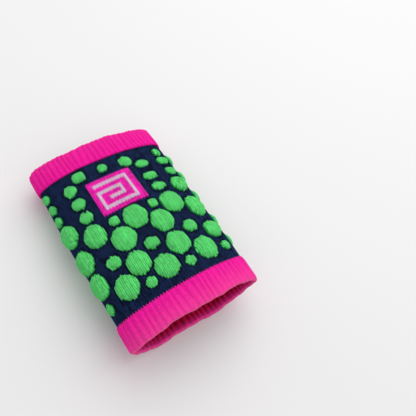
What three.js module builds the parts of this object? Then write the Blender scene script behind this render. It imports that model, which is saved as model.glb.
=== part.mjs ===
// A knitted sweat wristband for racket sports, in millimetres, +Z up.
//
// The band lies on its back. Its tube runs along Y, the patterned front faces up, and the
// wider open end is at -Y. The origin is under the middle of the band, on the surface it
// lies on.
//
// Every piece is first made on the band as it comes off the knitting cylinder, a straight
// round tube, or flat on the table. settle() then lets the tube rest in its flattened oval.
// Places on the fabric are given as a knitter gives them: a column of stitches, counted
// round from the middle of the front towards +X, and a course of stitches, counted along
// from the seam of the near cuff.

import * as THREE from "three";

// Overall size of the band at rest
const bandLength = 100;
const endHalfWidth = 33;
const middleHalfWidth = 34.1;
const nearHeight = 36;
const farHeight = 23;
const restingStripHalfWidth = 8;

// Stitches
const columnCount = 100;
const columnPitch = 1.65;
const bodyCourses = 70; // from one cuff's seam to the other's

// Fabric
const cuffLength = 12.4;
const cuffLayer = 1.0;
const cuffHollow = 1.0;
const cuffStep = 1.0; // how far a cuff stands proud of the body
const bodyWall = 2.0;
const elasticThickness = 0.4;
const clearance = 0.3; // between pieces that touch in the real band

// Raised dots, from the largest to the smallest, as wide and as long as so many stitches
const dotSizes = {
  broad: { columns: 6.9, courses: 11.4, height: 2.2, sides: 12 },
  large: { columns: 6.6, courses: 11, height: 2.2, sides: 12 },
  medium: { columns: 6.4, courses: 8.4, height: 1.9, sides: 10 },
  small: { columns: 4.2, courses: 5.6, height: 1.4, sides: 10 },
  wide: { columns: 4.8, courses: 4.3, height: 1.3, sides: 10 },
  tiny: { columns: 3.1, courses: 4.6, height: 1.1, sides: 10 },
};

// Flat coloured knitting: the square on the front, and what it and the back carry
const square = { column: -2.3, course: 50.7, columns: 14.5, courses: 18, thickness: 0.5 };
const emblemThickness = 0.4;
const stripeThickness = 0.6;
const stripeWidth = 2.1;
const pinkStripe = { column: -48.3, firstCourse: 9, lastCourse: 64, scallops: 0 };
const greenStripe = { column: -37.9, firstCourse: 18, lastCourse: 69, scallops: 3 };
const scallopDepth = 1.3;
const meanderColumns = [45.6, -41.9];
const meanderCourse = 44; // the middle of their length
const meanderRepeats = 4;

// Facets
const facetsRound = 64;
const facetsAlong = 5;
const foldFacets = 4;
const sectionFacets = 60;
const squareFacets = 14;

const colours = {
  navy: 0x121f3e,
  pink: 0xe52497,
  green: 0x52c263,
  lightGrey: 0xcdcdd2,
  elastic: 0xe8e4da,
};

// Worked out from the sizes above
const cuffThickness = 2 * cuffLayer + cuffHollow;
const nearSeam = -bandLength / 2 + cuffLength;
const farSeam = bandLength / 2 - cuffLength;
const coursePitch = (farSeam - nearSeam) / bodyCourses;
const tubeRadius = (columnCount * columnPitch) / (2 * Math.PI);
const bodyLift = -cuffStep; // the body's outer face, measured out from the cuffs' outer face
const dotLift = bodyLift + clearance;

// ---------------------------------------------------------------- the resting oval

// The outline of the cuffs' outer face at one place along the band. It starts at the middle
// of the front and runs round through +X: a low arch above, and below it a flat strip
// between two rounded sides.
function outlineAt(y) {
  const along = y / bandLength + 0.5;
  const bulge = 4 * along * (1 - along);
  const halfWidth = endHalfWidth + (middleHalfWidth - endHalfWidth) * bulge;
  const halfHeight = THREE.MathUtils.lerp(nearHeight, farHeight, along) / 2;
  const strip = restingStripHalfWidth;
  const side = halfWidth - strip;
  const quarter = Math.PI / 2;
  const arc = (x, width, from, to) =>
    new THREE.EllipseCurve(x, halfHeight, width, halfHeight, from, to, true);

  const outline = new THREE.CurvePath();
  outline.add(arc(0, halfWidth, quarter, 0));
  outline.add(arc(strip, side, 0, -quarter));
  outline.add(new THREE.LineCurve(new THREE.Vector2(strip, 0), new THREE.Vector2(-strip, 0)));
  outline.add(arc(-strip, side, -quarter, -2 * quarter));
  outline.add(arc(0, halfWidth, 2 * quarter, quarter));
  outline.curves.forEach((curve) => (curve.arcLengthDivisions = sectionFacets));
  return outline;
}

const outlines = new Map();
function restingPoint(share, y, lift) {
  const key = y.toFixed(3);
  if (!outlines.has(key)) outlines.set(key, outlineAt(y));
  const outline = outlines.get(key);
  const round = THREE.MathUtils.euclideanModulo(share, 1);
  const point = outline.getPoint(round);
  const run = outline.getTangent(round);
  return new THREE.Vector3(point.x - run.y * lift, y, point.y + run.x * lift);
}

// Moves every vertex of a piece made on the straight tube to its place on the resting oval.
function settle(geometry) {
  const position = geometry.getAttribute("position");
  const vertex = new THREE.Vector3();
  for (let i = 0; i < position.count; i += 1) {
    vertex.fromBufferAttribute(position, i);
    const share = Math.atan2(vertex.x, vertex.z) / (2 * Math.PI);
    const lift = Math.hypot(vertex.x, vertex.z) - tubeRadius;
    const rested = restingPoint(share, vertex.y, lift);
    position.setXYZ(i, rested.x, rested.y, rested.z);
  }
  geometry.computeVertexNormals();
  return geometry;
}

// Wraps a piece made flat (x across, y along, z out of the fabric) round the straight tube
// at a column and a course, then settles it.
function wrap(geometry, column, course, lift) {
  const position = geometry.getAttribute("position");
  for (let i = 0; i < position.count; i += 1) {
    const angle = (2 * Math.PI * (column + position.getX(i) / columnPitch)) / columnCount;
    const radius = tubeRadius + lift + position.getZ(i);
    const y = nearSeam + course * coursePitch + position.getY(i);
    position.setXYZ(i, radius * Math.sin(angle), y, radius * Math.cos(angle));
  }
  return settle(geometry);
}

// ---------------------------------------------------------------- tubes

// A closed profile of [lift, y] pairs, turned round the tube's axis.
function turnedTube(profile) {
  const points = profile.map(([lift, y]) => new THREE.Vector2(tubeRadius + lift, y));
  points.push(points[0].clone());
  return settle(new THREE.LatheGeometry(points, facetsRound));
}

function bodyGeometry() {
  const outer = [];
  const inner = [];
  for (let i = 0; i <= facetsAlong; i += 1) {
    const y = THREE.MathUtils.lerp(nearSeam + clearance, farSeam - clearance, i / facetsAlong);
    outer.push([bodyLift, y]);
    inner.unshift([bodyLift - bodyWall, y]);
  }
  return turnedTube([...outer, ...inner]);
}

// A cuff is knitted double and folded on itself: two layers with a hollow between them, a
// round fold at the band's end, and its open side at the seam. end is -1 near, +1 far.
function cuffGeometry(end) {
  const seam = end < 0 ? nearSeam : farSeam;
  const foldRadius = cuffThickness / 2;
  const foldStart = (end * bandLength) / 2 - end * foldRadius;
  const fold = (radius, step) => {
    const angle = (Math.PI * step) / foldFacets;
    return [-foldRadius + radius * Math.cos(angle), foldStart + end * radius * Math.sin(angle)];
  };
  const steps = Array.from({ length: foldFacets + 1 }, (unused, step) => step);
  const outside = steps.map((step) => fold(foldRadius, step));
  const inside = steps.map((step) => fold(cuffHollow / 2, step)).reverse();
  const profile = [
    [0, seam],
    ...outside,
    [-cuffThickness, seam],
    [-cuffThickness + cuffLayer, seam],
    ...inside,
    [-cuffLayer, seam],
  ];
  return turnedTube(end < 0 ? profile.reverse() : profile);
}

// The elastic yarn laid in the fold, as one thin band in the hollow of the cuff.
function elasticGeometry(end) {
  const seam = end < 0 ? nearSeam : farSeam;
  const outerFace = -cuffLayer - (cuffHollow - elasticThickness) / 2;
  const innerFace = outerFace - elasticThickness;
  const foldStart = (end * bandLength) / 2 - (end * cuffThickness) / 2;
  const ends = end < 0 ? [foldStart, seam - clearance] : [seam + clearance, foldStart];
  return turnedTube([
    [outerFace, ends[0]],
    [outerFace, ends[1]],
    [innerFace, ends[1]],
    [innerFace, ends[0]],
  ]);
}

// ---------------------------------------------------------------- raised dots

function dotGeometry(sizeName, column, course) {
  const { columns, courses, height, sides } = dotSizes[sizeName];
  const profile = [
    [0, 0],
    [0.5, 0],
    [1, 0],
    [0.93, 0.45 * height],
    [0.6, 0.86 * height],
    [0, height],
  ];
  const dome = new THREE.LatheGeometry(
    profile.map(([x, y]) => new THREE.Vector2(x, y)),
    sides,
  );
  dome.rotateX(Math.PI / 2);
  dome.scale((columns * columnPitch) / 2, (courses * coursePitch) / 2, 1);
  return wrap(dome, column, course, dotLift);
}

// Dots column by column, from the left edge of the front to its right edge, then down the
// +X side and the two edges of the back: [column, course, size]. Eleven more small dots are
// too slight to matter to how the band fits and are left out.
const frontDots = [
  [-22.5, 7.5, "tiny"],
  [-21.5, 17.5, "large"],
  [-21.5, 29.5, "large"],
  [-21.8, 43.7, "large"],
  [-22.5, 52.7, "tiny"],
  [-14.4, 10.3, "large"],
  [-14, 22.2, "small"],
  [-14.5, 36.6, "large"],
  [-14, 46.3, "small"],
  [-14, 53.7, "small"],
  [-14.3, 61.4, "small"],
  [-8.5, 16.5, "large"],
  [-8, 29.4, "broad"],
  [-9.9, 65.7, "small"],
  [-2.7, 9.5, "large"],
  [-2.5, 21.4, "small"],
  [-2.1, 35.8, "broad"],
  [3.9, 16.5, "large"],
  [3.9, 28.9, "large"],
  [5.6, 64.1, "small"],
  [10.1, 9.3, "large"],
  [10.1, 21.4, "small"],
  [10.2, 35.7, "broad"],
  [10, 45.7, "wide"],
  [9.9, 52.6, "wide"],
  [10.1, 60.2, "wide"],
  [16.9, 16.6, "medium"],
  [17.1, 30.2, "broad"],
  [17.6, 44, "medium"],
  [18.5, 52.7, "wide"],
];

const backDots = [
  [35, 5.8, "small"],
  [35, 15.9, "large"],
  [35, 28.6, "large"],
  [35, 45, "large"],
  [35, 57, "large"],
  [35.4, 66, "small"],
  [-31, 10.4, "small"],
  [-31, 19.4, "medium"],
  [-31, 30.6, "large"],
  [-31.5, 40.2, "small"],
  [-31, 49, "medium"],
  [-31, 60, "large"],
];

const sideDots = [
  [26, 10.8, "medium"],
  [26, 22.9, "medium"],
  [26, 37.8, "medium"],
  [26, 50, "medium"],
  [26, 61, "medium"],
];

// ---------------------------------------------------------------- flat knitting

// Knitting charts: a row of the chart is two courses, a mark is one column.
const coursesPerRow = 2;
const emblemChart = [
  "###########",
  "..........#",
  "########..#",
  "#......#..#",
  "#..#####..#",
  "#.........#",
  "###########",
];
const meanderRepeat = ["#####", "....#", "....#", "#####", "#....", "#...."];
const meanderChart = [
  ...Array.from({ length: meanderRepeats }, () => meanderRepeat).flat(),
  "#####",
];

// Thick fabric lying flat, knitted from a chart, with the chart's middle at the origin. Every
// mark has a face above and one below, and a wall on each side where its neighbour is blank.
function chartPatch(chart, thickness) {
  const rowPitch = coursesPerRow * coursePitch;
  const corners = [];
  const corner = (column, row, z) => [
    (column - chart[0].length / 2) * columnPitch,
    (chart.length / 2 - row) * rowPitch,
    z,
  ];
  const face = (...quad) => {
    const [a, b, c, d] = quad.map((place) => corner(...place));
    corners.push(...a, ...b, ...c, ...a, ...c, ...d);
  };
  const wall = ([fromColumn, fromRow], [toColumn, toRow]) =>
    face(
      [fromColumn, fromRow, 0],
      [toColumn, toRow, 0],
      [toColumn, toRow, thickness],
      [fromColumn, fromRow, thickness],
    );
  const blank = (column, row) => chart[row]?.[column] !== "#";

  chart.forEach((marks, row) => {
    for (const { index: column } of marks.matchAll(/#/g)) {
      const farLeft = [column, row];
      const farRight = [column + 1, row];
      const nearRight = [column + 1, row + 1];
      const nearLeft = [column, row + 1];
      const round = [nearLeft, nearRight, farRight, farLeft];
      face(...round.map((place) => [...place, thickness]));
      face(...round.reverse().map((place) => [...place, 0]));
      if (blank(column - 1, row)) wall(farLeft, nearLeft);
      if (blank(column + 1, row)) wall(nearRight, farRight);
      if (blank(column, row + 1)) wall(nearLeft, nearRight);
      if (blank(column, row - 1)) wall(farRight, farLeft);
    }
  });
  const patch = new THREE.BufferGeometry();
  patch.setAttribute("position", new THREE.Float32BufferAttribute(corners, 3));
  return patch;
}

function squareGeometry() {
  const width = square.columns * columnPitch;
  const height = square.courses * coursePitch;
  const plate = new THREE.BoxGeometry(width, height, square.thickness, squareFacets, 4, 1);
  plate.translate(0, 0, square.thickness / 2);
  return wrap(plate, square.column, square.course, dotLift);
}

// A squared spiral, a stock motif of knitting charts, on the square.
function emblemGeometry() {
  const lift = dotLift + square.thickness + clearance;
  return wrap(chartPatch(emblemChart, emblemThickness), square.column, square.course, lift);
}

function meanderGeometry(column) {
  return wrap(chartPatch(meanderChart, stripeThickness), column, meanderCourse, dotLift);
}

// A stripe along the band, straight, or bowed sideways in equal arcs.
function stripeGeometry({ column, firstCourse, lastCourse, scallops }) {
  const length = (lastCourse - firstCourse) * coursePitch;
  const rows = 24;
  const bar = new THREE.BoxGeometry(stripeWidth, length, stripeThickness, 1, rows, 1);
  bar.translate(0, length / 2, stripeThickness / 2);
  const position = bar.getAttribute("position");
  for (let i = 0; i < position.count; i += 1) {
    const turn = (Math.PI * scallops * position.getY(i)) / length;
    position.setX(i, position.getX(i) + scallopDepth * Math.abs(Math.sin(turn)));
  }
  return wrap(bar, column, firstCourse, dotLift);
}

// ---------------------------------------------------------------- the band

const finishes = {
  navy: { color: colours.navy, roughness: 0.95, metalness: 0 },
  pink: { color: colours.pink, roughness: 0.9, metalness: 0 },
  green: { color: colours.green, roughness: 0.9, metalness: 0 },
  lightGrey: { color: colours.lightGrey, roughness: 0.9, metalness: 0 },
  elastic: { color: colours.elastic, roughness: 0.6, metalness: 0 },
};

const wristband = new THREE.Group();

function addPiece(name, geometry, finish) {
  const material = new THREE.MeshStandardMaterial(finishes[finish]);
  const mesh = new THREE.Mesh(geometry, material);
  mesh.name = name;
  wristband.add(mesh);
}

addPiece("body_tube", bodyGeometry(), "navy");
addPiece("near_cuff", cuffGeometry(-1), "pink");
addPiece("far_cuff", cuffGeometry(1), "pink");
addPiece("near_cuff_elastic", elasticGeometry(-1), "elastic");
addPiece("far_cuff_elastic", elasticGeometry(1), "elastic");

function addDots(name, chart) {
  chart.forEach(([column, course, size], i) => {
    const number = String(i + 1).padStart(2, "0");
    addPiece(`${name}_${number}`, dotGeometry(size, column, course), "green");
  });
}
addDots("front_dot", frontDots);
addDots("side_dot", sideDots);
addDots("back_dot", backDots);

addPiece("front_square", squareGeometry(), "pink");
addPiece("square_emblem", emblemGeometry(), "lightGrey");
addPiece("pink_stripe", stripeGeometry(pinkStripe), "pink");
addPiece("green_stripe", stripeGeometry(greenStripe), "green");
meanderColumns.forEach((column, i) => {
  addPiece(`back_meander_${i + 1}`, meanderGeometry(column), "lightGrey");
});

export default wristband;
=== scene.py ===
import math

import bpy
import numpy as np
from mathutils import Matrix, Vector


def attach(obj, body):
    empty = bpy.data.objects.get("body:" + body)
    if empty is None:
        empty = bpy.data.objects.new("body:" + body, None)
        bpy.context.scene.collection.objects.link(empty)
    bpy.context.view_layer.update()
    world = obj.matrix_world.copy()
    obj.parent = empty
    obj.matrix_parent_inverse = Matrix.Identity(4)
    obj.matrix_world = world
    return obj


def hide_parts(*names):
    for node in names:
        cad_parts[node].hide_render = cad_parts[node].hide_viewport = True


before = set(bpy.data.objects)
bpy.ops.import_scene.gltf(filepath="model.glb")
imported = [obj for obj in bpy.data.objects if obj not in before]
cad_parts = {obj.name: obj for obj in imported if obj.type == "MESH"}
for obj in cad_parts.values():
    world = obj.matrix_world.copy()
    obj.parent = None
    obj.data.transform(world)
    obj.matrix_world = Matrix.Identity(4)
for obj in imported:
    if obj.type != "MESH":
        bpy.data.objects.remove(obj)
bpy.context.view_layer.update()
bpy.ops.object.select_all(action="DESELECT")

# ---------------------------------------------------------------- camera
# A camera held over the near left corner of the band. It looks down on the patterned front
# and into the open near end.
camera_place = Vector((-0.06919, -0.08529, 0.22679))
line_of_sight = Vector((0.4192, 0.3187, -0.8501)).normalized()
camera_top = Vector((0.3987, 0.7766, 0.4878))

camera_data = bpy.data.cameras.new("camera")
camera_data.lens = 43.27
camera_data.clip_start = 0.01
camera = bpy.data.objects.new("camera", camera_data)
bpy.context.scene.collection.objects.link(camera)
camera_right = line_of_sight.cross(camera_top).normalized()
camera_up = camera_right.cross(line_of_sight)
camera.matrix_world = Matrix.Translation(camera_place) @ Matrix(
    (camera_right, camera_up, -line_of_sight)
).transposed().to_4x4()
bpy.context.scene.camera = camera

# ---------------------------------------------------------------- floor and light
# A pale matt studio table in a bright white room, with one large soft box above the band's
# right side.
floor_drop = 0.0003
bpy.ops.mesh.primitive_plane_add(size=4, location=(0, 0, -floor_drop))
floor = bpy.context.object
floor.name = "studio_floor"
floor_finish = bpy.data.materials.new("studio_floor")
floor_finish.use_nodes = True
floor_shader = floor_finish.node_tree.nodes["Principled BSDF"]
floor_shader.inputs["Base Color"].default_value = (0.765, 0.76, 0.755, 1)
floor_shader.inputs["Roughness"].default_value = 0.8
floor.data.materials.append(floor_finish)

world = bpy.data.worlds.new("bright_room")
bpy.context.scene.world = world
world.use_nodes = True
world.node_tree.nodes["Background"].inputs["Color"].default_value = (0.98, 0.98, 1.0, 1)
world.node_tree.nodes["Background"].inputs["Strength"].default_value = 0.76


def soft_box(name, place, side, watts):
    light = bpy.data.lights.new(name, "AREA")
    light.shape = "SQUARE"
    light.size = side
    light.energy = watts
    lamp = bpy.data.objects.new(name, light)
    lamp.location = place
    lamp.rotation_euler = (-Vector(place)).to_track_quat("-Z", "Y").to_euler()
    bpy.context.scene.collection.objects.link(lamp)


soft_box("main_soft_box", (0.3, 0.16, 0.6), 0.8, 3.1)
bpy.context.scene.view_settings.view_transform = "Standard"

# ---------------------------------------------------------------- body tube
# The body is navy jacquard jersey with elastane, a double fabric knitted in the round on a
# sock machine. Its right side shows fine columns of V stitches, and the pink yarn runs loose
# behind them; the inside is coloured dark crimson, the pink floats with painted shade of the
# hollow tube. The green yarn's pockets press grooves into it.
mm = 0.001
band_length = 100.0
end_half_width = 33.0
middle_half_width = 34.1
near_height = 36.0
far_height = 23.0
resting_strip = 8.0
cuff_length = 12.4
cuff_thickness = 3.0
near_seam = cuff_length - band_length / 2
far_seam = -near_seam
column_count = 100
body_courses = 70
course_pitch = (far_seam - near_seam) / body_courses
column_pitch = 1.65


def resting_outline(y, samples):
    """Points and outward normals, at equal steps, of the cuffs' outer face at one place along
    the band. It starts at the middle of the front and runs round through +X."""
    along = y / band_length + 0.5
    half_width = end_half_width + (middle_half_width - end_half_width) * 4 * along * (1 - along)
    half_height = (near_height + (far_height - near_height) * along) / 2
    turn = np.linspace(0, np.pi / 2, 200)
    upper = np.stack([half_width * np.sin(turn), half_height * (1 + np.cos(turn))], 1)
    lower = np.stack(
        [
            resting_strip + (half_width - resting_strip) * np.cos(turn),
            half_height * (1 - np.sin(turn)),
        ],
        1,
    )
    right = np.concatenate([upper, lower[1:]])
    left = right[::-1] * (-1, 1)
    line = np.concatenate([right, left])
    run = np.concatenate([[0], np.cumsum(np.hypot(*np.diff(line, axis=0).T))])
    at = np.linspace(0, run[-1], samples + 1)
    points = np.stack([np.interp(at, run, line[:, i]) for i in range(2)], 1)[:-1]
    tangent = np.roll(points, -1, 0) - np.roll(points, 1, 0)
    tangent /= np.hypot(*tangent.T)[:, None]
    return points, np.stack([-tangent[:, 1], tangent[:, 0]], 1)


outline_samples = 1600
outline_rows = np.linspace(-53, 53, 213)
outline_table = np.array(
    [np.concatenate(resting_outline(y, outline_samples), 1) for y in outline_rows]
)
broad_swell = 0.16
fine_swell = 0.12


def on_band(column, course, lift):
    """Where a stitch lies, in metres. Columns count round from the middle of the front, and
    courses count from the near cuff's seam. lift is in mm out from the cuffs' outer face."""
    column, course, lift = np.broadcast_arrays(column, course, lift)
    y = near_seam + course * course_pitch
    row_pitch = outline_rows[1] - outline_rows[0]
    row = np.clip((y - outline_rows[0]) / row_pitch, 0, len(outline_rows) - 1.001)
    row_below = row.astype(int)
    row_share = (row - row_below)[..., None]
    place = (column / column_count) % 1 * outline_samples
    place_below = place.astype(int) % outline_samples
    place_above = (place_below + 1) % outline_samples
    place_share = (place - np.floor(place))[..., None]

    def between(rows):
        first = outline_table[rows, place_below]
        return first + (outline_table[rows, place_above] - first) * place_share

    found = between(row_below) * (1 - row_share) + between(row_below + 1) * row_share
    # The fabric isn't ironed: it swells and sinks a little, alike in every layer of it.
    share = column / column_count * 2 * np.pi
    lift = lift + broad_swell * np.sin(3 * share + y / 9)
    lift = lift + fine_swell * np.sin(7 * share - y / 14 + 2)
    x = found[..., 0] + found[..., 2] * lift
    z = found[..., 1] + found[..., 3] * lift
    return np.stack([x, y, z], -1) * mm


vee = 0.7  # how far a stitch's legs slant, in courses


def slant(column):
    return vee * np.abs(2 * (column % 1) - 1)


def stitch_relief(column, course):
    """Height of the yarn from 0 between two legs of a stitch to 1 on top of a leg."""
    across = (2 * column) % 1
    between_wales = np.abs(2 * (column % 1) - 1)
    leg = (1 - (2 * across - 1) ** 2) * (1 - 0.4 * between_wales**2)
    along = (course - slant(column)) % 1
    return leg * (0.72 + 0.28 * (1 - (2 * along - 1) ** 2))


def mesh_piece(name, points, faces, stitches, relief):
    """A mesh object with its UV map in stitches, and its yarn's height as an attribute."""
    mesh = bpy.data.meshes.new(name)
    mesh.from_pydata(points.tolist(), [], faces.tolist())
    uv_map = mesh.uv_layers.new(name="stitches")
    uv_map.data.foreach_set("uv", np.asarray(stitches, np.float32).ravel())
    # The materials paint shade where this height is low.
    height = mesh.attributes.new("relief", "FLOAT", "POINT")
    height.data.foreach_set("value", np.asarray(relief, np.float32).ravel())
    mesh.polygons.foreach_set("use_smooth", np.ones(len(faces), bool))
    mesh.update()
    piece = bpy.data.objects.new(name, mesh)
    bpy.context.scene.collection.objects.link(piece)
    return piece


def knitted_tube(name, column, course, lift, relief):
    """A closed skin from rows of stitches, each row a ring. The last row joins the first."""
    rows, ring = lift.shape
    points = on_band(column, course, lift).reshape(-1, 3)
    r, c = np.meshgrid(np.arange(rows), np.arange(ring), indexing="ij")
    next_r, next_c = (r + 1) % rows, (c + 1) % ring
    corners = [(r, c), (r, next_c), (next_r, next_c), (next_r, c)]
    faces = np.stack([a * ring + b for a, b in corners], -1).reshape(-1, 4)
    turned = [0, column_count, column_count, 0]
    stitches = np.stack(
        [
            np.stack([column[a, b] + np.where(b < c, extra, 0), course[a, b]], -1)
            for (a, b), extra in zip(corners, turned)
        ],
        2,
    )
    return mesh_piece(name, points, faces, stitches.reshape(-1, 2), relief)


# The pockets of green yarn: column, course, size, and how deep the pocket's middle is dented.
pocket_sizes = {
    "broad": {"columns": 6.9, "courses": 11.4, "height": 2.0},
    "large": {"columns": 6.6, "courses": 11.0, "height": 2.0},
    "medium": {"columns": 6.4, "courses": 8.4, "height": 1.7},
    "small": {"columns": 4.2, "courses": 5.6, "height": 1.2},
    "wide": {"columns": 4.8, "courses": 4.3, "height": 1.1},
    "tiny": {"columns": 3.1, "courses": 4.6, "height": 0.9},
}
front_pockets = [
    (-22.5, 7.5, "tiny", 0),
    (-21.5, 17.5, "large", 0),
    (-21.5, 29.5, "large", 0),
    (-21.8, 43.7, "large", 0),
    (-22.5, 52.7, "tiny", 0),
    (-14.4, 10.3, "large", 0),
    (-14, 22.2, "small", 0),
    (-14.5, 36.6, "large", 0),
    (-14, 46.3, "small", 0),
    (-14, 53.7, "small", 0),
    (-14.3, 61.4, "small", 0),
    (-8.5, 16.5, "large", 0),
    (-8.2, 29.2, "broad", 0),
    (-9.9, 65.7, "small", 0),
    (-2.7, 9.5, "large", 0),
    (-2.5, 21.4, "small", 0),
    (-2.05, 35.9, "broad", 0),
    (3.9, 16.5, "large", 0),
    (3.9, 28.9, "large", 0),
    (5.6, 64.1, "small", 0),
    (10.1, 9.3, "large", 0),
    (10.1, 21.4, "small", 0),
    (10.2, 35.7, "broad", 0),
    (10, 45.7, "wide", 0),
    (9.9, 52.6, "wide", 0),
    (10.1, 60.2, "wide", 0),
    (16.9, 16.6, "medium", 0.6),
    (17.1, 30.2, "broad", 0),
    (17.6, 44, "medium", 0.5),
    (18.5, 52.7, "wide", 0),
]
side_pockets = [(26, course, "medium", 0) for course in (10.8, 22.9, 37.8, 50, 61)]
back_pockets = [
    (35, 5.8, "small", 0),
    (35, 15.9, "large", 0),
    (35, 28.6, "large", 0),
    (35, 45, "large", 0.5),
    (35, 56.8, "large", 0),
    (35.4, 66.2, "small", 0),
    (-31, 10.4, "small", 0),
    (-31, 19.4, "medium", 0.6),
    (-31, 30.6, "large", 0),
    (-31.5, 40.2, "small", 0),
    (-31, 49, "medium", 0.6),
    (-31, 60, "large", 0),
]
tiny_pockets = [
    (-22.3, 59.1, "tiny", 0),
    (-22.7, 65.4, "tiny", 0),
    (-8.3, 6.7, "tiny", 0),
    (-7.8, 38.5, "tiny", 0),
    (-2.1, 65.1, "tiny", 0),
    (3.8, 6.9, "tiny", 0),
    (4.5, 38.3, "tiny", 0),
    (17.5, 7.3, "tiny", 0),
    (18.3, 59.3, "wide", 0),
    (18.2, 64.7, "tiny", 0),
    (-34.8, 66, "tiny", 0),
]
all_pockets = front_pockets + side_pockets + back_pockets + tiny_pockets


def columns_between(column, middle):
    return (column - middle + column_count / 2) % column_count - column_count / 2


body_lift = -1.0
body_wall = 2.0
body_relief = 0.34
groove_depth = 0.5
groove_width = 0.9
under_cuff = 1.4  # courses that the body runs on between the cuff's two layers
thinned_in_cuff = 1.25
float_height = 0.18

column_steps = np.arange(4 * column_count) / 4
outer_courses = np.arange(-under_cuff, body_courses + under_cuff + 0.01, 0.5)
column, course = np.meshgrid(column_steps, outer_courses)
relief = stitch_relief(column, course)
groove = np.zeros_like(column)
for middle_column, middle_course, size, dent in all_pockets:
    across = columns_between(column, middle_column) * column_pitch
    along = (course - middle_course) * course_pitch
    radius = pocket_sizes[size]["columns"] * column_pitch / 2
    past_rim = np.hypot(across, along) - radius
    groove = np.maximum(groove, np.exp(-((past_rim / groove_width) ** 2)))
outer_lift = body_lift - body_relief * (1 - relief) - groove_depth * groove

inner_courses = np.linspace(body_courses + under_cuff, -under_cuff, 40)
inner_column, inner_course = np.meshgrid(column_steps, inner_courses)
into_cuff = np.clip(
    np.maximum(-inner_course, inner_course - body_courses) / under_cuff + 1.2, 0, 1
)
floats = float_height * np.sin(2 * np.pi * inner_column / 2)
floats = floats * np.sin(2 * np.pi * inner_course / 7)
inner_lift = body_lift - body_wall + thinned_in_cuff * into_cuff + floats * (1 - into_cuff)

# The relief attribute is lowered in the grooves round the pockets, for painted shade there, and set
# to -1 on the inside.
body_tube = knitted_tube(
    "jersey_body_tube",
    np.concatenate([column, inner_column]),
    np.concatenate([course, inner_course]),
    np.concatenate([outer_lift, inner_lift]),
    np.concatenate([relief * (1 - 0.7 * groove), np.full(inner_lift.shape, -1.0)]),
)


def new_node(tree, kind, **settings):
    node = tree.nodes.new(kind)
    for name, value in settings.items():
        setattr(node, name, value)
    return node


def calculate(tree, operation, *values):
    node = new_node(tree, "ShaderNodeMath", operation=operation)
    for socket, value in zip(node.inputs, values):
        if isinstance(value, (int, float)):
            socket.default_value = value
        else:
            tree.links.new(value, socket)
    return node.outputs[0]


def mix_colours(tree, share, first, second, blend="MIX"):
    node = new_node(tree, "ShaderNodeMix", data_type="RGBA", blend_type=blend)
    sockets = (node.inputs[0], node.inputs[6], node.inputs[7])
    for socket, value in zip(sockets, (share, first, second)):
        if isinstance(value, (int, float, tuple)):
            socket.default_value = value
        else:
            tree.links.new(value, socket)
    return node.outputs[2]


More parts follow.
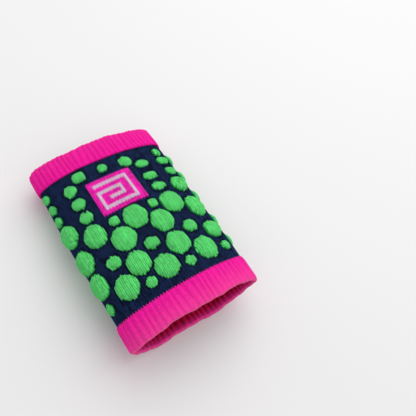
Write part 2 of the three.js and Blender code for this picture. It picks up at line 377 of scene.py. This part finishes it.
def build_knit_yarn():
    """The look of knitted yarn, as a node group: each leg of a stitch has its own tone, the
    yarn has painted shade where it dips between the legs, paler loose fibres that are
    stronger on the crests as a painted highlight, and it has a fine fibrous surface."""
    group = bpy.data.node_groups.new("knit_yarn", "ShaderNodeTree")
    sockets = [
        ("Stitches", "INPUT", "NodeSocketVector"),
        ("Place", "INPUT", "NodeSocketVector"),
        ("Yarn", "INPUT", "NodeSocketColor"),
        ("Dip shade", "INPUT", "NodeSocketColor"),
        ("Fuzz", "INPUT", "NodeSocketColor"),
        ("Relief", "INPUT", "NodeSocketFloat"),
        ("Contrast", "INPUT", "NodeSocketFloat"),
        ("Unevenness", "INPUT", "NodeSocketFloat"),
        ("Fuzziness", "INPUT", "NodeSocketFloat"),
        ("Color", "OUTPUT", "NodeSocketColor"),
        ("Height", "OUTPUT", "NodeSocketFloat"),
    ]
    for name, in_out, kind in sockets:
        group.interface.new_socket(name, in_out=in_out, socket_type=kind)
    given = group.nodes.new("NodeGroupInput").outputs
    result = group.nodes.new("NodeGroupOutput").inputs

    split = new_node(group, "ShaderNodeSeparateXYZ")
    group.links.new(given["Stitches"], split.inputs[0])
    column, course = split.outputs[0], split.outputs[1]
    in_column = calculate(group, "FRACT", column)
    from_middle = calculate(group, "MULTIPLY_ADD", in_column, 2.0, -1.0)
    half = calculate(group, "ABSOLUTE", from_middle)
    row = calculate(group, "SUBTRACT", course, calculate(group, "MULTIPLY", half, vee))
    leg = calculate(group, "MULTIPLY", column, 2.0)
    leg_number = calculate(group, "FLOOR", leg)
    row_number = calculate(group, "FLOOR", row)

    # Each stitch is round across its leg, and rounds off at both ends.
    in_leg = calculate(group, "FRACT", leg)
    across = calculate(group, "MULTIPLY_ADD", in_leg, 2.0, -1.0)
    across_squared = calculate(group, "MULTIPLY", across, across)
    round_across = calculate(group, "SUBTRACT", 1.0, across_squared)
    in_row = calculate(group, "FRACT", row)
    along = calculate(group, "MULTIPLY_ADD", in_row, 2.0, -1.0)
    along_cubed = calculate(group, "POWER", calculate(group, "ABSOLUTE", along), 3.0)
    round_along = calculate(group, "SUBTRACT", 1.0, along_cubed)
    round_ends = calculate(group, "MULTIPLY_ADD", round_along, 0.5, 0.5)
    stitch = calculate(group, "MULTIPLY", round_across, round_ends)

    number = new_node(group, "ShaderNodeCombineXYZ")
    group.links.new(leg_number, number.inputs[0])
    group.links.new(row_number, number.inputs[1])
    own_shade = new_node(group, "ShaderNodeTexWhiteNoise", noise_dimensions="3D")
    group.links.new(number.outputs[0], own_shade.inputs["Vector"])

    own_wale = new_node(group, "ShaderNodeTexWhiteNoise", noise_dimensions="1D")
    group.links.new(calculate(group, "FLOOR", column), own_wale.inputs["W"])

    fibres = new_node(group, "ShaderNodeTexNoise")
    fibres.inputs["Scale"].default_value = 2200
    fibres.inputs["Detail"].default_value = 3
    fibres.inputs["Roughness"].default_value = 0.65
    group.links.new(given["Place"], fibres.inputs["Vector"])
    clouds = new_node(group, "ShaderNodeTexNoise")
    clouds.inputs["Scale"].default_value = 750
    clouds.inputs["Detail"].default_value = 2
    group.links.new(given["Place"], clouds.inputs["Vector"])

    half_squared = calculate(group, "POWER", half, 2.0)
    wale = calculate(group, "MULTIPLY_ADD", half_squared, -0.75, 1.0)
    in_wale = calculate(group, "MULTIPLY", stitch, wale)
    # Painted shade: the colour turns to the dip colour where the yarn dips between legs and where
    # the relief attribute is low.
    raised = calculate(group, "MULTIPLY_ADD", given["Relief"], 0.5, 0.5)
    height = calculate(group, "MULTIPLY", in_wale, raised)
    depth = calculate(group, "SUBTRACT", 1.0, height)
    dip_shade = calculate(group, "MULTIPLY", depth, given["Contrast"])
    dip_shade_clamp = new_node(group, "ShaderNodeClamp")
    group.links.new(dip_shade, dip_shade_clamp.inputs[0])
    colour = mix_colours(group, dip_shade_clamp.outputs[0], given["Yarn"], given["Dip shade"])
    leg_shade = calculate(group, "SUBTRACT", own_shade.outputs["Value"], 0.5)
    wale_shade = calculate(group, "SUBTRACT", own_wale.outputs["Value"], 0.5)
    shade = calculate(group, "MULTIPLY_ADD", wale_shade, 0.6, leg_shade)
    cloudy = calculate(group, "MULTIPLY_ADD", clouds.outputs[0], 2.6, -1.3)
    uneven = calculate(group, "ADD", shade, cloudy)
    brightness = calculate(group, "MULTIPLY_ADD", uneven, given["Unevenness"], 1.0)
    scaled = new_node(group, "ShaderNodeVectorMath", operation="SCALE")
    group.links.new(colour, scaled.inputs[0])
    group.links.new(brightness, scaled.inputs["Scale"])
    loose = calculate(group, "MULTIPLY_ADD", fibres.outputs[0], 3.0, -1.25)
    loose_clamp = new_node(group, "ShaderNodeClamp")
    group.links.new(loose, loose_clamp.inputs[0])
    fuzz = calculate(group, "MULTIPLY", loose_clamp.outputs[0], given["Fuzziness"])
    # Painted highlight: the pale fuzz is stronger on the crests.
    on_crests = calculate(group, "MULTIPLY_ADD", height, 0.7, 0.3)
    fuzz = calculate(group, "MULTIPLY", fuzz, on_crests)
    group.links.new(mix_colours(group, fuzz, scaled.outputs[0], given["Fuzz"]), result["Color"])
    group.links.new(
        calculate(group, "MULTIPLY_ADD", fibres.outputs[0], 0.45, height), result["Height"]
    )
    return group


knit_yarn = build_knit_yarn()


def srgb(red, green, blue):
    """A colour mixed on a screen, as the shader's linear colour."""
    linear = [
        c / 12.92 if c <= 0.04045 else ((c + 0.055) / 1.055) ** 2.4
        for c in (red / 255, green / 255, blue / 255)
    ]
    return (*linear, 1.0)


def knit_finish(
    name, yarn, dip_shade, fuzz, contrast=1.0, unevenness=0.3, fuzziness=0.3, sheen=0.05, bump_strength=0.6
):
    """A knitted finish. Its yarn and relief nodes have names, for a finish that adds to them."""
    finish = bpy.data.materials.new(name)
    finish.use_nodes = True
    tree = finish.node_tree
    shader = tree.nodes["Principled BSDF"]
    group = new_node(tree, "ShaderNodeGroup", node_tree=knit_yarn, name="knit_yarn")
    stitches = new_node(tree, "ShaderNodeUVMap", uv_map="stitches")
    place = new_node(tree, "ShaderNodeTexCoord")
    height = new_node(tree, "ShaderNodeAttribute", attribute_name="relief", name="relief")
    tree.links.new(stitches.outputs[0], group.inputs["Stitches"])
    tree.links.new(place.outputs["Object"], group.inputs["Place"])
    tree.links.new(height.outputs["Fac"], group.inputs["Relief"])
    group.inputs["Yarn"].default_value = yarn
    # The dip colour is painted shade in the dips between stitches and in grooves.
    group.inputs["Dip shade"].default_value = dip_shade
    group.inputs["Fuzz"].default_value = fuzz
    group.inputs["Contrast"].default_value = contrast
    group.inputs["Unevenness"].default_value = unevenness
    group.inputs["Fuzziness"].default_value = fuzziness
    bump = new_node(tree, "ShaderNodeBump")
    bump.inputs["Strength"].default_value = bump_strength
    bump.inputs["Distance"].default_value = 0.00016
    tree.links.new(group.outputs["Height"], bump.inputs["Height"])
    tree.links.new(bump.outputs[0], shader.inputs["Normal"])
    tree.links.new(group.outputs["Color"], shader.inputs["Base Color"])
    shader.inputs["Roughness"].default_value = 0.92
    shader.inputs["Specular IOR Level"].default_value = 0.06
    shader.inputs["Sheen Weight"].default_value = sheen
    shader.inputs["Sheen Roughness"].default_value = 0.45
    return finish


navy_jersey = knit_finish(
    "navy_jersey",
    yarn=srgb(46, 70, 124),
    dip_shade=srgb(0, 2, 14),
    fuzz=srgb(70, 92, 140),
    contrast=1.35,
    unevenness=1.0,
    fuzziness=0.1,
    sheen=0.0,
)
# Where the relief attribute is below zero, the inside shows: the loose pink floats, coloured dark
# crimson as painted shade of the hollow tube.
navy_tree = navy_jersey.node_tree
navy_relief = navy_tree.nodes["relief"].outputs["Fac"]
navy_yarn = navy_tree.nodes["knit_yarn"].outputs["Color"]
shaded_inside = calculate(navy_tree, "LESS_THAN", navy_relief, -0.5)
two_sided = mix_colours(navy_tree, shaded_inside, navy_yarn, srgb(150, 8, 66))
navy_tree.links.new(two_sided, navy_tree.nodes["Principled BSDF"].inputs["Base Color"])

body_tube.data.materials.append(navy_jersey)
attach(body_tube, "root")
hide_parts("body_tube")

# ---------------------------------------------------------------- cuffs
# Each end of the band is a pink welt in rib, knitted twice as long as it shows and folded
# back on itself at the band's end, with its outer layer joined on over the body. The ribs
# aren't quite even and they lean a little. The outer layer is painted paler towards the fold
# as painted sheen, and the inner layer darker as painted shade.
rib_count = 60
rib_depth = 0.62
cuff_layer = 1.0
cuff_hollow = 1.0
cuff_relief = 0.12
rib_samples = 10
rib_gauge = 1.2  # columns of the cuff to one of the body
rib_lean = 0.012  # ribs sideways for each course from the seam
seam_reach = 0.9  # how far from the seam its stitches pull the cuff in
edge_step = 1.6
random_ribs = np.random.default_rng(7)


def cuff_profile(end):
    """Course, lift, and the share of the rib's depth along a cuff's closed section, from the
    seam over the outer layer, round the fold and back inside, then back through the hollow."""
    seam = 0 if end < 0 else body_courses
    fold = cuff_thickness / 2
    straight = cuff_length - fold
    section = []
    for distance in np.linspace(0, straight, 16):
        tuck = math.exp(-distance / seam_reach)
        section.append((distance, -0.35 * tuck, 1 - 0.6 * tuck, 0))
    for step in range(1, 12):
        turn = math.pi * step / 12
        lip = math.sin(turn)
        section.append((straight + fold * lip, fold * (math.cos(turn) - 1), 1 - 0.2 * lip, lip))
    for distance in np.linspace(straight, 0, 14):
        section.append((distance, -cuff_thickness, 1.1, 0))
    for distance in np.linspace(0, straight, 6):
        section.append((distance, -cuff_thickness + cuff_layer, 0, 0))
    for step in range(1, 6):
        turn = math.pi * step / 6
        section.append((
            straight + cuff_hollow / 2 * math.sin(turn),
            -fold - cuff_hollow / 2 * math.cos(turn),
            0,
            0,
        ))
    for distance in np.linspace(straight, 0, 6):
        tuck = math.exp(-distance / seam_reach)
        section.append((distance, -cuff_layer - 0.3 * tuck, 0, 0))
    distance, lift, depth, lip = np.array(section).T
    return seam + end * distance / course_pitch, lift, depth, lip


def ribbed_cuff(name, end, fold_sheen_share):
    course, lift, depth, lip = (a[:, None] for a in cuff_profile(end))
    column = np.arange(rib_count * rib_samples)[None] * column_count / (rib_count * rib_samples)
    seam = 0 if end < 0 else body_courses
    from_seam = np.abs(course - seam)
    # Each rib has its own depth and width, and wanders sideways along its length.
    rib = column * rib_count / column_count
    own_depth = np.repeat(random_ribs.uniform(0.55, 1.15, rib_count), rib_samples)
    own_depth = np.convolve(np.tile(own_depth, 3), np.ones(9) / 9, "same")
    own_depth = own_depth[rib_count * rib_samples : 2 * rib_count * rib_samples][None]
    wander = 0
    for waves, size in ((3, 0.22), (7, 0.16), (13, 0.1)):
        start = random_ribs.uniform(0, 2 * np.pi)
        wander = wander + size * np.sin(
            2 * np.pi * waves * column / column_count + start + from_seam * 0.1
        )
    crest = 0.5 + 0.5 * np.cos(2 * np.pi * (rib + wander + rib_lean * from_seam))
    crest = crest**0.75
    column, course = np.broadcast_arrays(column, course)
    stitches = stitch_relief(column * rib_gauge, course)
    outside = (depth > 0).astype(float)
    sink = rib_depth * depth * own_depth * (1 - crest) + cuff_relief * (1 - stitches) * outside
    inward = np.where(lift < -cuff_thickness / 2, 1, -1)
    edge = np.where((from_seam < 0.01) & (depth > 0), 1.0, 0.0)
    tooth = edge * (slant(column * rib_gauge) - vee / 2) * edge_step
    share = 2 * np.pi * column / column_count
    wave = 0.3 * np.sin(5 * share + 1) + 0.14 * np.sin(11 * share + 4) + 0.1 * np.sin(23 * share)
    tooth = tooth + end * wave * (from_seam * course_pitch / cuff_length) ** 2
    # The relief attribute is low in the rib grooves and zero on the inner layer, for painted shade
    # there.
    relief = outside * np.clip(crest * own_depth, 0, 1)
    # Painted shade inside the cuff's hollow: the inner layer is darkened more the further it lies in
    # from the fold.
    deep_inside_shade = np.clip((cuff_length - from_seam * course_pitch) / 4, 0, 1) * (
        lift < -cuff_thickness + 0.01
    )
    piece = knitted_tube(name, column, course + tooth, lift + inward * sink, relief)
    # Painted sheen: the outer layer is paler on the fold and towards it, more on the near cuff.
    painted_fold_sheen = np.maximum(lip, fold_sheen_share * (from_seam * course_pitch / cuff_length) ** 1.5) * outside
    for shade, values in (("painted_fold_sheen", painted_fold_sheen), ("shaded_inside", deep_inside_shade)):
        layer = piece.data.attributes.new(shade, "FLOAT", "POINT")
        values = np.broadcast_to(values, column.shape).astype(np.float32)
        layer.data.foreach_set("value", values.ravel())
    return piece


pink_rib = knit_finish(
    "pink_rib",
    yarn=srgb(252, 10, 168),
    dip_shade=srgb(208, 2, 126),
    fuzz=srgb(255, 110, 190),
    unevenness=0.13,
    fuzziness=0.25,
    sheen=0.06,
)
rib_tree = pink_rib.node_tree
rib_yarn = rib_tree.nodes["knit_yarn"].outputs["Color"]
rib_relief = rib_tree.nodes["relief"].outputs["Fac"]
# Painted sheen that pales the pink towards the fold.
fold_sheen_node = new_node(rib_tree, "ShaderNodeAttribute", attribute_name="painted_fold_sheen")
painted_fold_sheen = calculate(rib_tree, "MULTIPLY", fold_sheen_node.outputs["Fac"], 0.5)
sheened_pink = mix_colours(rib_tree, painted_fold_sheen, rib_yarn, srgb(246, 112, 150))
# Painted shade: the cuff's inner layer is coloured dark crimson.
inside_shade_node = new_node(rib_tree, "ShaderNodeAttribute", attribute_name="shaded_inside")
painted_crimson_shade = mix_colours(rib_tree, rib_relief, srgb(120, 0, 26), srgb(226, 10, 84))
inside_shaded = mix_colours(rib_tree, inside_shade_node.outputs["Fac"], sheened_pink, painted_crimson_shade)
rib_tree.links.new(inside_shaded, rib_tree.nodes["Principled BSDF"].inputs["Base Color"])

# The near cuff gets more painted sheen than the far one.
for cuff_name, node_name, end, fold_sheen_share in (
    ("near_ribbed_cuff", "near_cuff", -1, 0.45),
    ("far_ribbed_cuff", "far_cuff", 1, 0.1),
):
    cuff = ribbed_cuff(cuff_name, end, fold_sheen_share)
    cuff.data.materials.append(pink_rib)
    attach(cuff, "root")
    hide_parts(node_name)

# ---------------------------------------------------------------- elastic yarns
# A covered elastic yarn is laid into the fold of each cuff, and keeps the cuff closed round
# the wrist. It is wound in rows side by side, a flat band of pale yarn inside the hollow.
elastic_rows = 9
elastic_half_thickness = 0.2
elastic_half_gap = 0.06  # half the thickness left between two rows
elastic_start = 0.4  # from the seam
elastic_steps = 240


def wound_elastic(name, end):
    seam = 0 if end < 0 else body_courses
    fold_start = cuff_length - cuff_thickness / 2
    across = np.linspace(elastic_start, fold_start, 4 * elastic_rows + 1)
    rows = elastic_rows * (across - elastic_start) / (fold_start - elastic_start)
    swell = np.abs(np.sin(np.pi * rows))
    half = elastic_half_gap + (elastic_half_thickness - elastic_half_gap) * swell
    middle = -cuff_thickness / 2
    distance = np.concatenate([across, across[::-1]])
    lift = np.concatenate([middle + half, (middle - half)[::-1]])
    column = np.arange(elastic_steps)[None] * column_count / elastic_steps
    course = (seam + end * distance / course_pitch)[:, None]
    column, course, lift = np.broadcast_arrays(column, course, lift[:, None])
    return knitted_tube(name, column, course, lift, np.ones(lift.shape))


elastic_yarn = knit_finish(
    "covered_elastic",
    yarn=srgb(232, 228, 216),
    dip_shade=srgb(170, 164, 150),
    fuzz=srgb(250, 248, 240),
    sheen=0.1,
)
for elastic_name, node_name, end in (
    ("near_wound_elastic", "near_cuff_elastic", -1),
    ("far_wound_elastic", "far_cuff_elastic", 1),
):
    elastic = wound_elastic(elastic_name, end)
    elastic.data.materials.append(elastic_yarn)
    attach(elastic, "root")
    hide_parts(node_name)

# ---------------------------------------------------------------- raised dots
# Each dot is a pocket that the green yarn knits on the front needles only, loose over the
# body, so that it puffs up as it comes off the machine. Its edge steps from stitch to
# stitch. A few have been pressed in at the middle.
across_leg = 3
along_course = 2
patch_bottom = -1.95
rim_lift = -0.75
roundness = 0.45
pocket_relief = 0.26
pocket_start = 0.2  # how far over the body a pocket's swell begins
edge_unevenness = 0.28
rings, spokes = 9, 28
larger = 100
frames = 20
fullness = 1.7
random_pockets = np.random.default_rng(11)


def knit_patch(name, legs, lift_at, relief_depth, rounded=None, bow_at=None):
    """Closed thick fabric over a set of (leg, course) cells. A leg is half a column. lift_at
    gives the lift of the tops of the stitches at columns and courses. rounded draws the
    stepped edge in to an oval, given as middle column, middle course and half sizes, and
    bow_at moves the fabric so many columns sideways at each course."""
    corner, owners = {}, {}
    faces = []
    for leg, row in sorted(legs):
        for a in range(across_leg):
            for b in range(along_course):
                quad = [
                    (leg * across_leg + a + da, row * along_course + b + db)
                    for da, db in ((0, 0), (1, 0), (1, 1), (0, 1))
                ]
                faces.append([corner.setdefault(key, len(corner)) for key in quad])
                for key in quad:
                    owners[key] = owners.get(key, 0) + 1
    keys = np.array(list(corner), float)
    column = keys[:, 0] / (2 * across_leg)
    row = keys[:, 1] / along_course
    course = row + slant(column)
    stitches = np.stack([column, course], 1)
    inner = np.array([owners[key] == 4 for key in corner])
    relief = stitch_relief(column, course)
    if rounded:
        middle, half = np.array(rounded[:2]), np.array(rounded[2:])
        out = (np.stack([column, course], 1) - middle) / half
        angle = np.arctan2(out[:, 1], out[:, 0])
        radius = np.hypot(*out.T)
        order = np.argsort(angle[~inner])
        edge = np.interp(
            angle, angle[~inner][order], radius[~inner][order], period=2 * np.pi
        )
        draw_in = 1 + roundness * (1 / edge - 1) * np.minimum(radius / edge, 1) ** 2
        column, course = (middle + out * draw_in[:, None] * half).T
    if bow_at:
        column = column + bow_at(course)
    top = lift_at(column, course) - relief_depth * (1 - relief)
    top = np.where(inner, top, rim_lift)
    # The rim's relief is set low, for painted shade along the patch's edge.
    relief = np.where(inner, relief, 0.1)
    count = len(corner)
    points = np.concatenate([
        on_band(column, course, top),
        on_band(column, course, np.full(count, patch_bottom)),
    ])
    edges = {}
    for face in faces:
        for a, b in zip(face, face[1:] + face[:1]):
            edges[(a, b)] = edges.get((a, b), 0) + 1
    rim = [(a, b) for a, b in edges if (b, a) not in edges]
    under = [[i + count for i in reversed(face)] for face in faces]
    skirt = [[b, a, a + count, b + count] for a, b in rim]
    all_faces = np.array(faces + under + skirt)
    vertex_stitches = np.tile(stitches, (2, 1))
    return mesh_piece(
        name, points, all_faces, vertex_stitches[all_faces.ravel()], np.tile(relief, 2)
    )


def blow_up(pockets):
    """The pockets' loose green fabric, spread flat ten columns wide as on the needle beds and
    blown up all at once by a cloth simulation, with the rims held. It is run a hundred times
    larger, which suits its units. A dented pocket is also held at its middle. The result is
    the swell of each pocket at each ring and spoke, from 0 at its rim to 1 where it is
    highest, with its sides made fuller."""
    turn = np.arange(spokes) * 2 * np.pi / spokes
    ring_share = np.repeat(np.arange(1, rings + 1), spokes)[:, None] / rings
    rim = np.tile(np.stack([np.cos(turn), np.sin(turn)], 1), (rings, 1))
    points, faces, held = [], [], []
    for column, course, size, dent in pockets:
        kind = pocket_sizes[size]
        half = np.array([kind["columns"] * column_pitch, kind["courses"] * course_pitch]) / 2
        flat = np.concatenate([[(0, 0)], ring_share * rim]) * half
        flat += (column * column_pitch, course * course_pitch)
        lift = random_pockets.uniform(0, 0.05, len(flat))
        pressed = 1 + 2 * spokes if dent else 0
        lift[:pressed] = (1 - dent) * kind["height"]
        lift[-spokes:] = 0
        first = len(points)
        points += np.column_stack([flat, lift]).tolist()
        held += range(first, first + pressed)
        held += range(len(points) - spokes, len(points))
        for s in range(spokes):
            here, beside = first + 1 + s, first + 1 + (s + 1) % spokes
            faces.append((first, here, beside))
            for r in range(0, (rings - 1) * spokes, spokes):
                faces.append((here + r, here + r + spokes, beside + r + spokes, beside + r))

    mesh = bpy.data.meshes.new("loose_fabric")
    mesh.from_pydata((np.array(points) * larger * mm).tolist(), [], faces)
    fabric = bpy.data.objects.new("loose_fabric", mesh)
    bpy.context.scene.collection.objects.link(fabric)
    fabric.vertex_groups.new(name="held").add(held, 1.0, "REPLACE")
    cloth = fabric.modifiers.new("blow_up", "CLOTH")
    cloth.settings.vertex_group_mass = "held"
    cloth.settings.mass = 0.05
    cloth.settings.shrink_min = -0.12
    cloth.settings.bending_stiffness = 0.1
    cloth.settings.use_pressure = True
    cloth.settings.uniform_pressure_force = 10
    cloth.settings.effector_weights.gravity = 0
    cloth.collision_settings.use_collision = False
    cloth.point_cache.frame_end = frames
    for step in range(1, frames + 1):
        bpy.context.scene.frame_set(step)
    blown = fabric.evaluated_get(bpy.context.evaluated_depsgraph_get())
    settled = np.empty(3 * len(points), np.float32)
    blown.data.vertices.foreach_get("co", settled)
    bpy.data.objects.remove(fabric)
    bpy.context.scene.frame_set(1)
    lift = settled.reshape(len(pockets), -1, 3)[:, :, 2] / (larger * mm)
    middle = np.repeat(lift[:, :1, None], spokes, 2)
    swell = np.concatenate([middle, lift[:, 1:].reshape(-1, rings, spokes)], 1)
    highest = swell.max((1, 2), keepdims=True)
    return 1 - (1 - np.clip(swell / highest, 0, 1)) ** fullness


def pocket_cells(middle_column, middle_course, size):
    half_columns = pocket_sizes[size]["columns"] / 2
    half_courses = pocket_sizes[size]["courses"] / 2
    cells = set()
    for leg in range(
        math.floor(2 * (middle_column - half_columns)), math.ceil(2 * (middle_column + half_columns))
    ):
        across = ((leg + 0.5) / 2 - middle_column) / half_columns
        reach = 1 - across**2 + random_pockets.normal(0, edge_unevenness / half_columns)
        if reach <= 0.04:
            continue
        reach = math.sqrt(reach) * half_courses
        start = middle_course - vee / 2
        low = round(start - reach)
        high = round(start + reach)
        cells.update((leg, row) for row in range(low, high))
    return cells


def puffed_pocket(name, place, swell):
    middle_column, middle_course, size, dent = place
    half_columns = pocket_sizes[size]["columns"] / 2
    half_courses = pocket_sizes[size]["courses"] / 2
    height = pocket_sizes[size]["height"] * random_pockets.uniform(0.94, 1.06)

    def lift_at(column, course):
        across = (column - middle_column) / half_columns
        along = (course - middle_course) / half_courses
        ring = np.minimum(np.hypot(across, along), 1) * (rings - 0.001)
        spoke = np.arctan2(along, across) / (2 * np.pi) % 1 * spokes
        r, s = ring.astype(int), spoke.astype(int) % spokes
        ring_share, spoke_share = ring - r, spoke % 1
        inner = swell[r, s] * (1 - spoke_share) + swell[r, (s + 1) % spokes] * spoke_share
        outer = swell[r + 1, s] * (1 - spoke_share) + swell[r + 1, (s + 1) % spokes] * spoke_share
        share = inner * (1 - ring_share) + outer * ring_share
        return body_lift + pocket_start + height * share

    return knit_patch(
        name,
        pocket_cells(middle_column, middle_course, size),
        lift_at,
        pocket_relief,
        rounded=(middle_column, middle_course, half_columns, half_courses),
    )


green_pocket = knit_finish(
    "green_pocket",
    yarn=srgb(116, 230, 128),
    dip_shade=srgb(30, 166, 72),
    fuzz=srgb(160, 240, 160),
    unevenness=0.3,
    fuzziness=0.35,
    bump_strength=0.5,
)


def add_pocket(name, place, swell, nodes):
    pocket = puffed_pocket(name, place, swell)
    pocket.data.materials.append(green_pocket)
    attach(pocket, "root")
    if nodes:
        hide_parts(*nodes)


swells = iter(blow_up(all_pockets))
for group_name, chart in (
    ("front", front_pockets),
    ("side", side_pockets),
    ("back", back_pockets),
):
    for number, place in enumerate(chart, 1):
        pocket_name = f"{group_name}_puffed_dot_{number:02d}"
        node_name = f"{group_name}_dot_{number:02d}"
        add_pocket(pocket_name, place, next(swells), [node_name])
for number, place in enumerate(tiny_pockets, 1):
    add_pocket(f"tiny_puffed_dot_{number:02d}", place, next(swells), [])

# ---------------------------------------------------------------- front square and its emblem
# The square is pink jacquard, knitted flat into the front, and the emblem on it is light
# grey yarn in the same courses, a squared spiral.
square_column, square_course, square_columns, square_rows = -2.3, 50.7, 14.5, 18
flat_lift = body_lift + 0.42
flat_relief = 0.22
emblem_rise = 0.16
emblem_chart = [
    "###########",
    "..........#",
    "########..#",
    "#......#..#",
    "#..#####..#",
    "#.........#",
    "###########",
]
courses_per_mark = 2


def chart_cells(chart, middle_column, middle_course):
    """The cells under the marks of a knitting chart. A mark is one column wide."""
    first_leg = round(2 * (middle_column - len(chart[0]) / 2))
    first_row = round(middle_course - len(chart) * courses_per_mark / 2)
    cells = set()
    for line, marks in enumerate(reversed(chart)):
        for place, mark in enumerate(marks):
            if mark == "#":
                for row in range(courses_per_mark):
                    for leg in range(2):
                        cells.add((
                            first_leg + 2 * place + leg,
                            first_row + line * courses_per_mark + row,
                        ))
    return cells


def flat_patch(name, node_name, cells, lift, finish, bow_at=None):
    def lift_at(column, course):
        return np.full(column.shape, lift)

    patch = knit_patch(name, cells, lift_at, flat_relief, bow_at=bow_at)
    patch.data.materials.append(finish)
    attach(patch, "root")
    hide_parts(node_name)


pink_jacquard = knit_finish(
    "pink_jacquard",
    yarn=srgb(254, 44, 196),
    dip_shade=srgb(190, 4, 124),
    fuzz=srgb(250, 110, 200),
    unevenness=0.4,
    fuzziness=0.2,
    sheen=0.05,
)
grey_jacquard = knit_finish(
    "grey_jacquard",
    yarn=srgb(226, 212, 224),
    dip_shade=srgb(176, 140, 168),
    fuzz=srgb(244, 240, 246),
    unevenness=0.15,
    fuzziness=0.3,
    sheen=0.1,
)
first_leg = round(2 * (square_column - square_columns / 2))
first_row = round(square_course - square_rows / 2)
square_cells = {
    (first_leg + leg, first_row + row)
    for leg in range(round(2 * square_columns))
    for row in range(square_rows)
}
emblem_cells = chart_cells(emblem_chart, square_column, square_course)
flat_patch(
    "jacquard_square", "front_square", square_cells, flat_lift, pink_jacquard
)
flat_patch(
    "jacquard_emblem",
    "square_emblem",
    emblem_cells,
    flat_lift + emblem_rise,
    grey_jacquard,
)

# ---------------------------------------------------------------- back stripes and meanders
# Down the middle of the back run a straight pink stripe and a scalloped green one, both
# raised, and beside them two square meanders in light grey jacquard.
pink_stripe_column, pink_stripe_rows = -48.3, range(9, 64)
green_stripe_column, green_stripe_rows = -37.9, range(18, 69)
pink_stripe_rise = 0.35
green_stripe_rise = 0.45
meander_rise = 0.1
stripe_legs = 3
scallops = 3
scallop_columns = 0.8
meander_repeat = ["#####", "....#", "....#", "#####", "#....", "#...."]
meander_chart = meander_repeat * 4 + ["#####"]
meander_course = 44


def stripe_cells(column, rows):
    first_leg = round(2 * column - stripe_legs / 2)
    return {(leg, row) for leg in range(first_leg, first_leg + stripe_legs) for row in rows}


def scalloped(course):
    share = (course - green_stripe_rows[0]) / len(green_stripe_rows)
    return scallop_columns * np.abs(np.sin(np.pi * scallops * share))


flat_patch(
    "raised_pink_stripe",
    "pink_stripe",
    stripe_cells(pink_stripe_column, pink_stripe_rows),
    flat_lift + pink_stripe_rise,
    pink_jacquard,
)
flat_patch(
    "raised_green_stripe",
    "green_stripe",
    stripe_cells(green_stripe_column, green_stripe_rows),
    flat_lift + green_stripe_rise,
    green_pocket,
    bow_at=scalloped,
)
for number, middle_column in enumerate((45.6, -41.9), 1):
    flat_patch(
        f"jacquard_meander_{number}",
        f"back_meander_{number}",
        chart_cells(meander_chart, middle_column, meander_course),
        flat_lift + meander_rise,
        grey_jacquard,
    )
